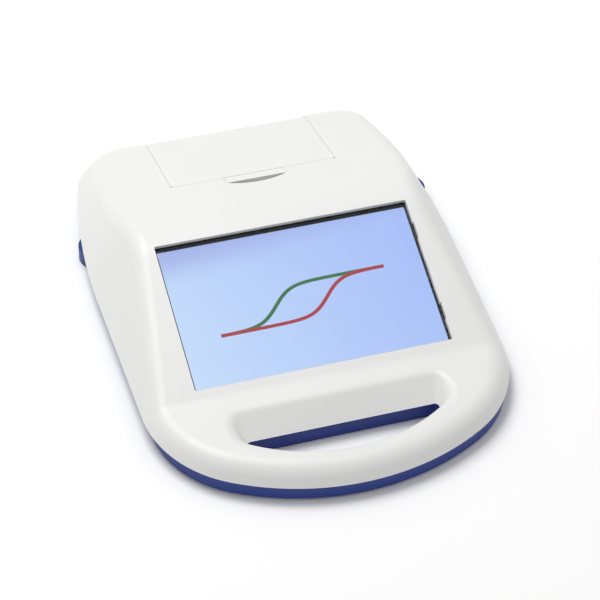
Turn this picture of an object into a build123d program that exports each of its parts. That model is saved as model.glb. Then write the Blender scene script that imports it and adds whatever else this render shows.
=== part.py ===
from build123d import *
import os
from math import cos, radians, sin, tan

os.makedirs("parts", exist_ok=True)

# Portable bench instrument: white upper moulding with a sloped display face, a rear deck with a
# hinged lid over eight tube wells, a blue lower shell, and a carry handle moulded round the front.
# Origin: middle of the footprint, on the table. X to the right, Y to the back, Z up. Millimetres.

# Outline of the skirt, where the two shells meet
body_length = 308.0
front_y = -body_length / 2
rear_y = body_length / 2
glass_size = (165.0, 104.0)
nose_radius = 150.0
nose_half_angle = 30.0
front_side_x = glass_size[0] / 2 + 28.5
widest_side_x = front_side_x + 2.2
widest_side_y = rear_y - 124.0
middle_side_x = front_side_x - 1.2
middle_side_y = rear_y - 68.0
rear_side_x = front_side_x - 17.0
rear_corner_radius = 30.0

# Heights and slopes of the upper surface
parting_height = 11.0
wall_draft = 28.5
bar_height = 21.5
fold_y = rear_y - 121.5
screen_centre_y = fold_y - 58.0
screen_centre_z = 38.9
screen_tilt = 17.8
deck_tilt = 16.0
fold_radius = 60.0
brow_radius = 20.0
rim_radius = 12.0

# Walls of the upper moulding: under the flat faces, at the parting plane and at the loft's top
skin = 3.2
rim_width = 7.5
crown_wall = 2.4
loft_top = 60.0
cavity_front_y = front_y + 72.0

# Hand slot: its outline at the parting plane, and the wider one at the top of the scoop
slot_rear_y = front_y + 46.7
slot_front_y = front_y + 23.0
slot_half_width = front_side_x - 53.0
slot_corner_y = front_y + 41.0
slot_corner_radius = 2.5
scoop_top = 23.5
scoop_rear_y = front_y + 66.0
scoop_half_width = slot_half_width + 8.0
scoop_corner_y = front_y + 45.0
scoop_corner_radius = 8.0
bar_edge_radius = 9.0

# Lower shell
base_rim_bottom = 1.0
base_bottom = 3.0
base_gap = 0.4
base_tuck = 3.4
base_wall = 3.0
base_floor = 2.5
base_edge_bevel = 1.2
base_cavity_front_y = front_y + 54.0
foot_bottom = 0.5
foot_radius = 12.0
front_foot = (front_side_x - 21.0, front_y + 57.0)
rear_foot = (front_side_x - 10.0, rear_y - 77.0)
rear_foot_top = 10.0
pad_radius = 8.0
pad_height = 1.5

# Screws: shank, head and the holes round them
screw_radius = 1.5
screw_head_radius = 2.7
screw_head_height = 2.0
thread_clearance = 0.05
hole_clearance = 0.2
head_clearance = 0.3
small_screw_radius = 1.0
small_head_radius = 1.9
small_head_height = 1.2
key_across = 1.2
key_depth = 1.0
case_screws = [
    (front_side_x - 17.0, front_y + 92.0),
    (front_side_x - 14.0, 20.0),
    (front_side_x - 23.0, rear_y - 39.0),
]
boss_radius = 5.0
boss_height = 12.0
case_thread_depth = 9.0
case_screw_seat = 6.4
screw_end_gap = 1.0

# Display, measured in the plane of the sloped face
screen_opening = (glass_size[0] - 7.2, glass_size[1] - 6.3)
screen_corner = 1.0
notch_length = 10.8
notch_depth = 0.6
notch_v = [27.4, -29.1]
glass_thickness = 1.1
glass_corner = 2.0
gasket_thickness = 0.5
gasket_lip = 0.6
module_size = (glass_size[0], glass_size[1] - 4.0)
module_thickness = 5.0
module_corner = 1.0
seat_clearance = 0.3
bracket_thickness = 1.2
bracket_rail = 10.0
display_boss = (glass_size[0] / 2 + 3.9, glass_size[1] / 2 - 8.0)
display_boss_radius = 3.5
display_screw_reach = 4.0

# Tube wells
well_count = 8
well_pitch = 9.0
well_radius = 3.2
well_straight = 6.5
well_depth = 13.0
well_tip_radius = 1.5
block_half_x = well_count * well_pitch / 2 + 1.5
block_half_y = 6.0

# Lid, hinge and finger recess
hinge_y = rear_y - 14.5
lid_front_y = hinge_y - 59.9
lid_half_width = block_half_x + 15.4
lid_thickness = 3.0
lid_flange = 6.0
lid_flange_width = 2.5
lid_gap = 0.2
lid_corner_radius = 2.0
lid_rear_y = hinge_y + 3.1
tongue_front_y = lid_front_y - 7.2
tongue_half_width = 19.5
crease_width = 0.6
crease_depth = 0.5
hinge_depth = 5.4
barrel_radius = 3.5
pin_radius = 1.5
pin_grip = 2.7
pin_clearance = 0.08
hinge_sweep = 6.2
cheek_width = 6.0
rear_wall_top = 19.5
gutter_front_y = hinge_y - 7.7
gutter_wall = 1.5
gutter_bottom = 13.4
gutter_top = 21.5
recess_half_width = 19.1
recess_bulge = 5.1
recess_depth = 7.0
recess_undercut = 4.0
recess_wall = 2.2

# Tray round the wells, heater block and its jacket
row_y = lid_front_y + 10.4
block_top = 27.5
block_bottom = 12.4
film_thickness = 0.4
film_inset = 1.0
block_edge_radius = 1.0
jacket_half_x = block_half_x + 3.5
jacket_half_y = block_half_y + 3.5
jacket_bottom = 10.0
block_clearance = 0.1
light_height = 17.0
light_window = 2.4
tray_floor_top = 27.0
tray_floor = 2.0
trough_half_x = block_half_x + 9.5
trough_front_y = row_y - 7.0
trough_rear_y = row_y + 7.0
trough_wall = 2.0
tray_depth = 8.0
tray_half_x = lid_half_width - 4.4
tray_front_y = lid_front_y - 0.6
tray_rear_y = hinge_y - 8.0
tray_outer_x = lid_half_width + 3.1
ear_screw_x = lid_half_width + 7.1
ear_screw_y = [row_y - 2.0, row_y + 34.0]
ear_boss_radius = 3.5
ear_boss_depth = 8.0
ear_thickness = 2.5
ear_screw_reach = 4.0
jacket_screw_x = block_half_x + 6.5
jacket_ear_half_y = 4.0
jacket_ear_depth = 8.0
magnet_size = (10.0, 2.0, 3.0)
keeper_size = (magnet_size[0], magnet_size[1] - 0.2, 1.0)
liner_thickness = 1.0
liner_margin = 1.0
liner_corner = 2.0
magnet_x = lid_half_width - 8.9
magnet_y = lid_front_y + 1.3

# Press bar under the lid
bar_half_x = block_half_x + 3.5
bar_half_y = block_half_y - 1.5
bar_bottom = 31.8
bar_thickness = 3.0
bar_head_seat = 1.6
bar_head_sink = 0.2
bar_corner_radius = 2.0
bar_screw_x = block_half_x + 0.5
bar_screw_top = 39.4
bar_boss_radius = 3.4
bar_boss_bottom = 36.6
bar_boss_top = 39.2
spring_x = 18.0
spring_radius = 2.2
spring_wire = 0.5
spring_seat = 1.2

# Boards and filters at the two sides of the well row
rail_width = 3.4
rail_length = 2.4
optic_board_thickness = 1.6
optic_board_bottom = 11.0
optic_board_top = 24.0
filter_half_x = block_half_x - 1.5
filter_thickness = 1.0
filter_bottom = 13.0
filter_top = 21.0
chip_side = 2.0
chip_height = 1.0
optic_screw_x = jacket_half_x - 1.6
optic_screw_length = 3.5
optic_screw_inset = 2.0
optic_screw_gap = 0.5

# Main board, battery and its door
board_x = (0.0, front_side_x - 23.0)
board_y = (-45.0, 60.0)
board_bottom = 8.0
board_thickness = 1.6
board_corner = 3.0
board_hole_inset = 5.0
standoff_radius = 3.5
board_screw_bottom = 5.0
board_screw_gap = 0.3
can_size = (34.0, 28.0, 3.2)
can_centre = (46.0, 12.0)
can_edge_radius = 1.0
header_size = (5.0, 16.0, 6.0)
header_wall = 1.0
header_points = [(6.0, -18.0), (6.0, 8.0), (6.0, 34.0)]
battery_size = (62.0, 46.0, 17.4)
battery_centre = (-45.0, 23.0)
battery_edge_radius = 3.0
bay_clearance = 1.0
bay_rib = 1.5
bay_rib_height = 3.5
door_size = (70.0, 61.0)
door_centre_y = 19.5
door_thickness = 1.6
door_clearance = 0.3
door_head_height = 0.8
door_head_sink = 0.1
door_screw_gap = 0.5
door_screw_y = -6.0
door_boss_radius = 4.0
door_boss_top = 10.0

# Connector bay at the rear
bay_half_x = 46.0
bay_ceiling = 14.5
panel_half_x = 48.0
panel_y = (rear_y - 10.9, rear_y - 8.5)
panel_top = 14.9
panel_slot_gap = 0.3
connector_z = 10.0
cutout_clearance = 0.1
rear_board_x = (-44.0, 20.0)
rear_board_front_y = rear_y - 34.0
rear_board_thickness = 1.3
tail_pocket_depth = 1.2
tail_pocket_inset = 4.0
inlet_x = -28.0
inlet_width = 9.0
inlet_front_y = rear_y - 23.0
inlet_bore_radius = 2.75
inlet_bore_depth = 9.5
inlet_pin_radius = 1.0
inlet_pin_setback = 2.0
usb_x = 2.0
usb_width = 13.4
usb_front_y = rear_y - 24.0
usb_wall = 0.5
usb_depth = 12.0
tongue_thickness = 1.8
tongue_width = 11.0
tongue_setback = 1.5
rocker_x = 30.0
rocker_frame_half = (6.9, 3.3)
rocker_flange = 0.6
rocker_flange_thickness = 1.0
rocker_frame_front_y = rear_y - 22.0
rocker_bay_half = (6.1, 2.4)
rocker_bay_depth = 8.0
rocker_half = (5.2, 2.2)
rocker_pivot_y = rear_y - 11.7
rocker_tilt = 8.0
rocker_pin_radius = 0.8
rocker_pin_reach = 0.6
rocker_pin_gap = 0.05
rocker_face = 3.6
rocker_dip = 1.0
rocker_heel = 1.6

far = rear_y + 30.0
slope = tan(radians(screen_tilt))
deck_slope = tan(radians(deck_tilt))
fold_z = screen_centre_z + (fold_y - screen_centre_y) * slope
loft_inset = (loft_top - parting_height) * tan(radians(wall_draft))
base_floor_top = base_bottom + base_floor


def deck_z(y):
    return fold_z - (y - fold_y) * deck_slope


def along_deck(y):
    return (y - lid_front_y) / cos(radians(deck_tilt))


hinge_z = deck_z(hinge_y) - hinge_depth / cos(radians(deck_tilt))
screen_plane = Plane(
    origin=(0, screen_centre_y, screen_centre_z),
    x_dir=(1, 0, 0),
    z_dir=(0, -sin(radians(screen_tilt)), cos(radians(screen_tilt))),
)
deck_plane = Plane(
    origin=(0, lid_front_y, deck_z(lid_front_y)),
    x_dir=(1, 0, 0),
    z_dir=(0, sin(radians(deck_tilt)), cos(radians(deck_tilt))),
)


def both_sides(points):
    return [(side * x, y) for x, y in points for side in (-1, 1)]


display_bosses = both_sides([display_boss, (display_boss[0], -display_boss[1])])


def skirt_line(inset, tuck=0.0):
    """Skirt outline moved in by inset all round, and by tuck more at the sides and rear."""
    nose = nose_radius - inset
    nose_centre_y = front_y + nose_radius
    angle = radians(nose_half_angle)
    side = front_side_x - inset - tuck
    corner = (side - nose * sin(angle)) / (1 - sin(angle))
    corner_x = side - corner
    corner_y = nose_centre_y - (nose - corner) * cos(angle)
    half = angle / 2
    mean = (angle + radians(90)) / 2
    rear = rear_y - inset - tuck
    with BuildLine() as outline:
        start = (0, front_y + inset)
        join = (nose * sin(angle), nose_centre_y - nose * cos(angle))
        ThreePointArc(start, (nose * sin(half), nose_centre_y - nose * cos(half)), join)
        ThreePointArc(join, (corner_x + corner * sin(mean), corner_y - corner * cos(mean)), (side, corner_y))
        Line((side, corner_y), (widest_side_x - inset - tuck, widest_side_y))
        ThreePointArc(
            (widest_side_x - inset - tuck, widest_side_y),
            (middle_side_x - inset - tuck, middle_side_y),
            (rear_side_x - inset - tuck, rear),
        )
        Line((rear_side_x - inset - tuck, rear), (0, rear))
        mirror(about=Plane.YZ)
    return outline.line


def round_rear_corners(sketch, inset):
    ends = sketch.vertices().group_by(Axis.Y)[-1].sort_by(Axis.X)
    fillet([ends[0], ends[-1]], rear_corner_radius - inset)


def side_points(depth):
    """Side view of the upper surface, moved in by depth square to each face, front to rear."""
    slope_drop = depth / cos(radians(screen_tilt))
    deck_drop = depth / cos(radians(deck_tilt))
    brow_y = screen_centre_y + (bar_height - depth - screen_centre_z + slope_drop) / slope
    ridge_y = fold_y + (slope_drop - deck_drop) / (slope + deck_slope)
    return [
        (-far, 0),
        (-far, bar_height - depth),
        (brow_y, bar_height - depth),
        (ridge_y, deck_z(ridge_y) - deck_drop),
        (far, deck_z(far) - deck_drop),
        (far, 0),
    ]


def slot_line(rear, half_width, corner):
    """Hand slot outline: straight rear edge, two short sides and a front edge bowed forward."""
    with BuildLine() as outline:
        Line((-half_width, rear), (half_width, rear))
        Line((half_width, rear), (half_width, corner))
        ThreePointArc((half_width, corner), (0, slot_front_y), (-half_width, corner))
        Line((-half_width, corner), (-half_width, rear))
    return outline.line


# Outer form of the upper moulding: drafted walls cut by the side view, then rounded
with BuildPart() as outer_walls:
    with BuildSketch(Plane.XY.offset(parting_height)) as skirt:
        add(skirt_line(0))
        make_face()
        round_rear_corners(skirt, 0)
    with BuildSketch(Plane.XY.offset(loft_top)) as crown:
        add(skirt_line(loft_inset))
        make_face()
        round_rear_corners(crown, loft_inset)
    loft(ruled=True)

with BuildPart() as outer_form:
    with BuildSketch(Plane.YZ.offset(-far)):
        with BuildLine():
            Polyline(*side_points(0), close=True)
        make_face()
    extrude(amount=2 * far)
    add(outer_walls.part, mode=Mode.INTERSECT)
    creases = outer_form.edges().filter_by(Axis.X).filter_by(lambda e: e.center().Z > parting_height + 1)
    fillet(creases.sort_by(Axis.Z)[-1], fold_radius)
    brow_y = side_points(0)[2][0]
    brow_edge = outer_form.edges().filter_by(Axis.X).sort_by(lambda e: abs(e.center().Y - brow_y))[0]
    fillet(brow_edge, brow_radius)
    tops = outer_form.faces().filter_by(lambda f: f.normal_at(f.center()).Z > cos(radians(20)))
    shared = tops.edges()
    rim = [e for e in shared if sum(e.is_same(o) for o in shared) == 1]
    fillet(rim, rim_radius)

# Room inside the upper moulding
with BuildPart() as inside_form:
    with BuildSketch(Plane.XY.offset(parting_height)) as inner_skirt:
        add(skirt_line(rim_width))
        make_face()
        round_rear_corners(inner_skirt, rim_width)
    with BuildSketch(Plane.XY.offset(loft_top)) as inner_crown:
        add(skirt_line(loft_inset + crown_wall))
        make_face()
        round_rear_corners(inner_crown, loft_inset + crown_wall)
    loft(ruled=True)
    with BuildSketch(Plane.YZ.offset(-far)):
        with BuildLine():
            Polyline(*side_points(skin), close=True)
        make_face()
    extrude(amount=2 * far, mode=Mode.INTERSECT)
    inner_creases = inside_form.edges().filter_by(Axis.X).filter_by(lambda e: e.center().Z > parting_height + 1)
    fillet(inner_creases.sort_by(Axis.Z)[-1], fold_radius - skin)
    with BuildSketch():
        with Locations((0, cavity_front_y)):
            Rectangle(2 * far, far, align=(Align.CENTER, Align.MAX))
    extrude(amount=loft_top, mode=Mode.SUBTRACT)

# Bosses and inner walls of the upper moulding, trimmed to its outer form
with BuildPart() as housing_ribs:
    with BuildSketch(deck_plane.offset(-recess_depth - recess_wall)):
        with Locations((0, along_deck(tongue_front_y - recess_bulge - recess_wall))):
            Rectangle(
                2 * (recess_half_width + recess_wall + 1),
                along_deck(lid_front_y - 2 * lid_gap) - along_deck(tongue_front_y - recess_bulge - recess_wall),
                align=(Align.CENTER, Align.MIN),
            )
    extrude(amount=recess_depth + recess_wall - skin / 2)
    with BuildSketch(deck_plane.offset(-ear_boss_depth)):
        with Locations(*both_sides([(ear_screw_x, along_deck(y)) for y in ear_screw_y])):
            Circle(ear_boss_radius)
    extrude(amount=ear_boss_depth - skin / 2)
    with BuildSketch(screen_plane.offset(-skin - gasket_thickness - glass_thickness - module_thickness)):
        with Locations(*display_bosses):
            Circle(display_boss_radius)
    extrude(amount=gasket_thickness + glass_thickness + module_thickness + skin / 2)
    with BuildSketch(Plane.XY.offset(parting_height)):
        with Locations(*both_sides(case_screws)):
            Circle(boss_radius)
    extrude(amount=boss_height)
    with BuildSketch(Plane.XY.offset(gutter_bottom)):
        with Locations((0, gutter_front_y)):
            Rectangle(
                2 * (lid_half_width + lid_gap + cheek_width),
                hinge_y + hinge_sweep - gutter_front_y,
                align=(Align.CENTER, Align.MIN),
            )
    extrude(amount=fold_z - gutter_bottom)
    add(outer_form.part, mode=Mode.INTERSECT)

with BuildPart() as top_housing:
    add(outer_form.part)
    with BuildSketch(Plane.XY.offset(parting_height)) as slot_low:
        add(slot_line(slot_rear_y, slot_half_width, slot_corner_y))
        make_face()
        fillet(slot_low.vertices(), slot_corner_radius)
    with BuildSketch(Plane.XY.offset(scoop_top)) as slot_high:
        add(slot_line(scoop_rear_y, scoop_half_width, scoop_corner_y))
        make_face()
        fillet(slot_high.vertices(), scoop_corner_radius)
    loft(ruled=True, mode=Mode.SUBTRACT)
    slot_rim = (
        top_housing.edges()
        .filter_by(lambda e: e.bounding_box().min.Z > bar_height - 1)
        .filter_by(lambda e: abs(e.center().X) < scoop_half_width + 2)
        .filter_by(lambda e: slot_front_y - 2 < e.center().Y < scoop_rear_y + 2)
        .filter_by(lambda e: e.bounding_box().max.X < scoop_half_width + 4)
        .filter_by(lambda e: e.bounding_box().min.X > -scoop_half_width - 4)
    )
    fillet(slot_rim, bar_edge_radius)
    add(inside_form.part, mode=Mode.SUBTRACT)
    with BuildSketch(screen_plane.offset(-skin)):
        Rectangle(glass_size[0] + 2 * seat_clearance, glass_size[1] + 2 * seat_clearance)
    extrude(amount=-skin - module_thickness - bracket_thickness, mode=Mode.SUBTRACT)
    add(housing_ribs.part)
    with BuildSketch(screen_plane) as opening:
        Rectangle(*screen_opening)
        fillet(opening.vertices(), screen_corner)
        with Locations(*[(screen_opening[0] / 2, v) for v in notch_v]):
            Rectangle(2 * notch_depth, notch_length)
    extrude(amount=skin + gasket_thickness, both=True, mode=Mode.SUBTRACT)
    with BuildSketch(screen_plane.offset(-skin - gasket_thickness - glass_thickness - module_thickness)):
        with Locations(*display_bosses):
            Circle(screw_radius + thread_clearance)
    extrude(amount=module_thickness, mode=Mode.SUBTRACT)
    with BuildSketch(screen_plane.offset(-skin - gasket_thickness - glass_thickness - module_thickness)):
        with Locations(*display_bosses):
            Circle(display_boss_radius + seat_clearance)
    extrude(amount=-2 * bracket_thickness, mode=Mode.SUBTRACT)
    with BuildSketch(Plane.XY.offset(parting_height)):
        with Locations(*both_sides(case_screws)):
            Circle(screw_radius + thread_clearance)
    extrude(amount=case_thread_depth, mode=Mode.SUBTRACT)
    with BuildSketch(deck_plane.offset(-ear_boss_depth)):
        with Locations(*both_sides([(ear_screw_x, along_deck(y)) for y in ear_screw_y])):
            Circle(screw_radius + thread_clearance)
    extrude(amount=ear_boss_depth - skin, mode=Mode.SUBTRACT)
    with BuildSketch(deck_plane.offset(-2 * lid_flange)):
        with Locations((0, -lid_gap / cos(radians(deck_tilt)))):
            Rectangle(
                2 * (lid_half_width + lid_gap),
                along_deck(gutter_front_y) + lid_gap,
                align=(Align.CENTER, Align.MIN),
            )
    extrude(amount=4 * lid_flange, mode=Mode.SUBTRACT)
    with BuildSketch(deck_plane.offset(-lid_thickness - 1.5 * lid_gap)):
        with Locations((0, along_deck(tongue_front_y))):
            Rectangle(
                2 * (tongue_half_width + lid_gap),
                along_deck(lid_front_y) - along_deck(tongue_front_y),
                align=(Align.CENTER, Align.MIN),
            )
    extrude(amount=4 * lid_flange, mode=Mode.SUBTRACT)
    with BuildSketch(deck_plane.offset(-recess_depth)):
        with BuildLine():
            chord = along_deck(tongue_front_y)
            ThreePointArc(
                (-recess_half_width, chord),
                (0, along_deck(tongue_front_y - recess_bulge)),
                (recess_half_width, chord),
            )
            Polyline(
                (recess_half_width, chord),
                (recess_half_width, chord + recess_undercut),
                (-recess_half_width, chord + recess_undercut),
                (-recess_half_width, chord),
            )
        make_face()
    extrude(amount=4 * lid_flange, mode=Mode.SUBTRACT)
    with BuildSketch(Plane.XY.offset(gutter_top)):
        with Locations((0, gutter_front_y - lid_thickness)):
            Rectangle(2 * (lid_half_width + lid_gap), far, align=(Align.CENTER, Align.MIN))
    extrude(amount=far, mode=Mode.SUBTRACT)
    with BuildSketch(Plane.XY.offset(rear_wall_top)):
        with Locations((0, gutter_front_y + gutter_wall)):
            Rectangle(2 * (lid_half_width + lid_gap), far, align=(Align.CENTER, Align.MIN))
    extrude(amount=far, mode=Mode.SUBTRACT)
    with BuildSketch(Plane.YZ.offset(-lid_half_width - lid_gap)):
        with Locations((hinge_y, hinge_z)):
            Circle(hinge_sweep)
    extrude(amount=2 * (lid_half_width + lid_gap), mode=Mode.SUBTRACT)
    with BuildSketch(Plane.YZ.offset(-lid_half_width - lid_gap - pin_grip)):
        with Locations((hinge_y, hinge_z)):
            Circle(pin_radius + thread_clearance)
    extrude(amount=2 * (lid_half_width + lid_gap + pin_grip), mode=Mode.SUBTRACT)
    with BuildSketch(Plane.XY.offset(parting_height)):
        with Locations((0, panel_y[1])):
            Rectangle(2 * bay_half_x, far, align=(Align.CENTER, Align.MIN))
    extrude(amount=bay_ceiling - parting_height, mode=Mode.SUBTRACT)
    with BuildSketch(Plane.XY.offset(parting_height)):
        with Locations((0, panel_y[1])):
            Rectangle(
                2 * (panel_half_x + panel_slot_gap),
                panel_y[1] - panel_y[0] + panel_slot_gap,
                align=(Align.CENTER, Align.MAX),
            )
    extrude(amount=panel_top + panel_slot_gap - parting_height, mode=Mode.SUBTRACT)


def finish(part, label):
    part.label = label
    export_step(part, f"parts/{label}.step")
    print(label, round(part.volume), len(part.solids()), part.is_valid)


finish(top_housing.part, "top_housing")

# Lower shell: floor, walls, a rim round its underside, moulded feet and the blue half of the slot
with BuildSketch() as slot_wall:
    add(slot_line(slot_rear_y, slot_half_width, slot_corner_y))
    make_face()
    offset(amount=base_wall, kind=Kind.INTERSECTION)

with BuildPart() as base_shell:
    with BuildSketch(Plane.XY.offset(base_rim_bottom)) as base_outline:
        add(skirt_line(base_gap, base_tuck))
        make_face()
        round_rear_corners(base_outline, base_gap + base_tuck)
    extrude(amount=parting_height - base_rim_bottom)
    chamfer(base_shell.faces().sort_by(Axis.Z)[0].edges(), base_edge_bevel)
    with BuildSketch(Plane.XY.offset(base_rim_bottom)) as underside:
        add(skirt_line(base_gap + base_wall, base_tuck))
        make_face()
        round_rear_corners(underside, base_gap + base_wall + base_tuck)
        add(slot_wall.sketch, mode=Mode.SUBTRACT)
    extrude(amount=base_bottom - base_rim_bottom, mode=Mode.SUBTRACT)
    with BuildSketch(Plane.XY.offset(base_floor_top)) as base_room:
        add(skirt_line(base_gap + base_wall, base_tuck))
        make_face()
        round_rear_corners(base_room, base_gap + base_wall + base_tuck)
        with Locations((0, base_cavity_front_y)):
            Rectangle(2 * far, far, align=(Align.CENTER, Align.MAX), mode=Mode.SUBTRACT)
    extrude(amount=parting_height, mode=Mode.SUBTRACT)
    with BuildSketch(Plane.XY.offset(foot_bottom)):
        with Locations(*both_sides([front_foot])):
            Circle(foot_radius)
    extrude(amount=base_floor_top - foot_bottom)
    with BuildSketch(Plane.XY.offset(foot_bottom)):
        with Locations(*both_sides([rear_foot])):
            Circle(foot_radius)
    extrude(amount=rear_foot_top - foot_bottom)
    with BuildSketch(Plane.XY.offset(foot_bottom)):
        with Locations(*both_sides([front_foot, rear_foot])):
            Circle(pad_radius + thread_clearance)
    extrude(amount=pad_height - foot_bottom, mode=Mode.SUBTRACT)
    with BuildSketch(Plane.XY.offset(base_floor_top)):
        with Locations(*both_sides(case_screws)):
            Circle(boss_radius)
    extrude(amount=parting_height - base_floor_top)
    with BuildSketch(Plane.XY.offset(base_floor_top)):
        with Locations((battery_centre[0], battery_centre[1])):
            bay = (battery_size[0] + 2 * bay_clearance, battery_size[1] + 2 * bay_clearance)
            Rectangle(bay[0] + 2 * bay_rib, bay[1] + 2 * bay_rib)
    extrude(amount=bay_rib_height)
    with BuildSketch(Plane.XY.offset(base_floor_top)):
        with Locations((battery_centre[0], door_screw_y)):
            Circle(door_boss_radius)
    extrude(amount=door_boss_top - base_floor_top + 1)
    with BuildSketch(Plane.XY.offset(base_bottom)):
        with Locations((battery_centre[0], battery_centre[1])):
            Rectangle(*bay)
    extrude(amount=parting_height, mode=Mode.SUBTRACT)
    with BuildSketch(Plane.XY.offset(base_bottom)):
        with Locations((battery_centre[0], door_centre_y)):
            Rectangle(door_size[0] + 2 * door_clearance, door_size[1] + 2 * door_clearance)
    extrude(amount=door_thickness, mode=Mode.SUBTRACT)
    with BuildSketch(Plane.XY.offset(base_bottom)):
        with Locations((battery_centre[0], door_screw_y)):
            Circle(screw_radius + thread_clearance)
    extrude(amount=door_boss_top - base_bottom, mode=Mode.SUBTRACT)
    standoffs = [(x, y) for x in (board_x[0] + board_hole_inset, board_x[1] - board_hole_inset)
                 for y in (board_y[0] + board_hole_inset, board_y[1] - board_hole_inset)]
    with BuildSketch(Plane.XY.offset(base_floor_top)):
        with Locations(*standoffs):
            Circle(standoff_radius)
    extrude(amount=board_bottom - base_floor_top)
    with BuildSketch(Plane.XY.offset(board_screw_bottom)):
        with Locations(*standoffs):
            Circle(screw_radius + thread_clearance)
    extrude(amount=board_bottom - board_screw_bottom, mode=Mode.SUBTRACT)
    with BuildSketch(Plane.XY.offset(base_bottom)):
        with Locations(*both_sides(case_screws)):
            Circle(screw_radius + hole_clearance)
    extrude(amount=parting_height - base_bottom, mode=Mode.SUBTRACT)
    with BuildSketch(Plane.XY.offset(base_bottom)):
        with Locations(*both_sides(case_screws)):
            Circle(screw_head_radius + head_clearance)
    extrude(amount=case_screw_seat - base_bottom, mode=Mode.SUBTRACT)
    with BuildSketch(Plane.XY.offset(base_rim_bottom)) as slot_base:
        add(slot_line(slot_rear_y, slot_half_width, slot_corner_y))
        make_face()
        fillet(slot_base.vertices(), slot_corner_radius)
    extrude(amount=parting_height - base_rim_bottom, mode=Mode.SUBTRACT)
    with BuildSketch(Plane.XY.offset(base_floor_top)):
        with Locations((0, panel_y[0])):
            Rectangle(2 * bay_half_x, far, align=(Align.CENTER, Align.MIN))
    extrude(amount=parting_height - base_floor_top, mode=Mode.SUBTRACT)
    with BuildSketch(Plane.XY.offset(base_floor_top)):
        tail_x = (rear_board_x[0] + tail_pocket_inset, rear_board_x[1] - tail_pocket_inset)
        tail_y = (rear_board_front_y + tail_pocket_inset, panel_y[0] - tail_pocket_inset)
        with Locations(((tail_x[0] + tail_x[1]) / 2, (tail_y[0] + tail_y[1]) / 2)):
            Rectangle(tail_x[1] - tail_x[0], tail_y[1] - tail_y[0])
    extrude(amount=-tail_pocket_depth, mode=Mode.SUBTRACT)
finish(base_shell.part, "base_shell")

with BuildPart() as foot_pads:
    with BuildSketch():
        with Locations(*both_sides([front_foot, rear_foot])):
            Circle(pad_radius)
    extrude(amount=pad_height)
finish(foot_pads.part, "foot_pads")


def screw(plane, points, length, shank=screw_radius, head=screw_head_radius, height=screw_head_height):
    """Screws with their heads below the plane and their shanks standing up from it."""
    with BuildPart() as screws:
        with BuildSketch(plane):
            with Locations(*points):
                Circle(shank)
        extrude(amount=length)
        with BuildSketch(plane):
            with Locations(*points):
                Circle(head)
        extrude(amount=-height)
        with BuildSketch(plane.offset(-height)):
            with Locations(*points):
                RegularPolygon(key_across * head / screw_head_radius, 6)
        extrude(amount=min(key_depth, height / 2), mode=Mode.SUBTRACT)
    return screws.part


case_screw_length = parting_height - case_screw_seat + case_thread_depth - screw_end_gap
finish(screw(Plane.XY.offset(case_screw_seat), both_sides(case_screws), case_screw_length), "housing_screws")

# Battery, its door and the door's screw
with BuildPart() as battery_door:
    with BuildSketch(Plane.XY.offset(base_bottom)) as door_outline:
        with Locations((battery_centre[0], door_centre_y)):
            Rectangle(*door_size)
        with Locations((battery_centre[0], door_screw_y)):
            Circle(screw_radius + hole_clearance, mode=Mode.SUBTRACT)
    extrude(amount=door_thickness)
    with BuildSketch(Plane.XY.offset(base_bottom)):
        with Locations((battery_centre[0], door_screw_y)):
            Circle(screw_head_radius + head_clearance)
    extrude(amount=door_head_height, mode=Mode.SUBTRACT)
finish(battery_door.part, "battery_door")

door_screw_plane = Plane.XY.offset(base_bottom + door_head_height)
door_screw_length = door_boss_top - base_bottom - door_head_height - door_screw_gap
door_screw = screw(
    door_screw_plane,
    [(battery_centre[0], door_screw_y)],
    door_screw_length,
    height=door_head_height - door_head_sink,
)
finish(door_screw, "battery_door_screw")

with BuildPart() as battery_pack:
    with Locations((*battery_centre, base_bottom + door_thickness)):
        Box(*battery_size, align=(Align.CENTER, Align.CENTER, Align.MIN))
    fillet(battery_pack.edges().filter_by(Axis.Y), battery_edge_radius)
finish(battery_pack.part, "battery_pack")

# Main board with its screws, shield can and headers
board_top = board_bottom + board_thickness
with BuildPart() as main_board:
    with BuildSketch(Plane.XY.offset(board_bottom)) as board_outline:
        with Locations(((board_x[0] + board_x[1]) / 2, (board_y[0] + board_y[1]) / 2)):
            Rectangle(board_x[1] - board_x[0], board_y[1] - board_y[0])
        fillet(board_outline.vertices(), board_corner)
        with Locations(*standoffs):
            Circle(screw_radius + hole_clearance, mode=Mode.SUBTRACT)
    extrude(amount=board_thickness)
finish(main_board.part, "main_board")

board_screw_plane = Plane(origin=(0, 0, board_top), x_dir=(1, 0, 0), z_dir=(0, 0, -1))
board_screw_points = [(x, -y) for x, y in standoffs]
board_screw_length = board_top - board_screw_bottom - board_screw_gap
finish(screw(board_screw_plane, board_screw_points, board_screw_length), "board_screws")

with BuildPart() as shield_can:
    with Locations((*can_centre, board_top)):
        Box(*can_size, align=(Align.CENTER, Align.CENTER, Align.MIN))
    fillet(shield_can.edges().filter_by(Axis.Z), can_edge_radius)
finish(shield_can.part, "shield_can")

with BuildPart() as board_headers:
    with Locations(*[(x, y, board_top) for x, y in header_points]):
        Box(*header_size, align=(Align.CENTER, Align.CENTER, Align.MIN))
    with Locations(*[(x, y, board_top + header_size[2]) for x, y in header_points]):
        Box(
            header_size[0] - 2 * header_wall,
            header_size[1] - 2 * header_wall,
            header_size[2] / 2,
            align=(Align.CENTER, Align.CENTER, Align.MAX),
            mode=Mode.SUBTRACT,
        )
finish(board_headers.part, "board_headers")

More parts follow.
